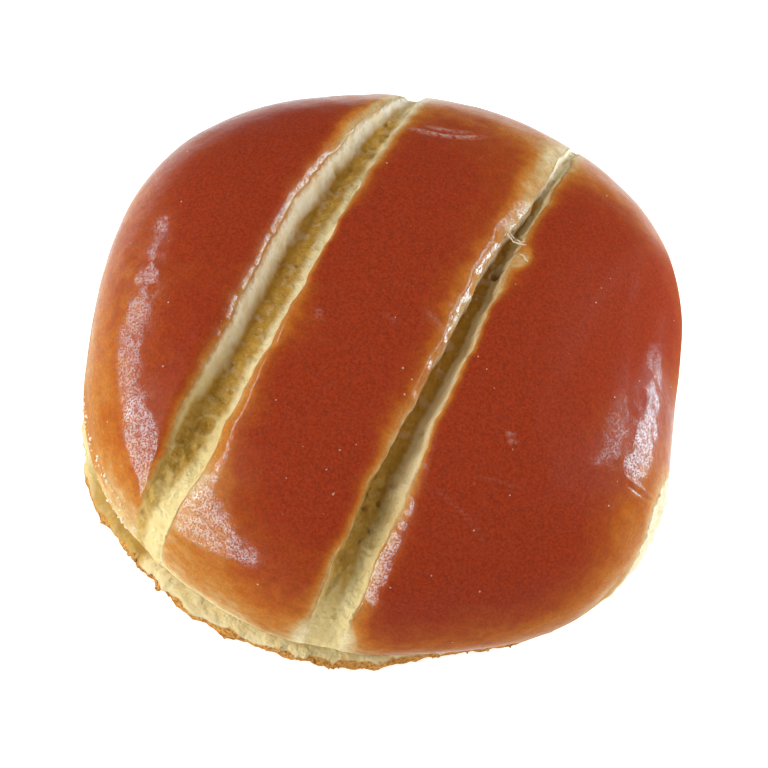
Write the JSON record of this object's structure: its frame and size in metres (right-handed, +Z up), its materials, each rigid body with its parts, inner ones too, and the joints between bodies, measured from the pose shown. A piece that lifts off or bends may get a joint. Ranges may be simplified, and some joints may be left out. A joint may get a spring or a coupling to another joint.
{
  "type": "potato bun",
  "caption": "Round potato bun with a glossy browned dome, scored along its length by knife cuts that show pale crumb, on a flat pale foot.",
  "frame": {"origin": "middle of the bun's outline, on the surface that it stands on", "axes": "+Z up, +Y along the knife cuts, +X across them towards the wider lobe"},
  "size_m": [0.1118, 0.1114, 0.0477],
  "materials": {
    "crust": "glossy baked crust, red-brown on top, golden at the lips and pale cream at the foot and in the cuts"
  },
  "bodies": {
    "root": {"bun": "crust"}
  },
  "joints": []
}
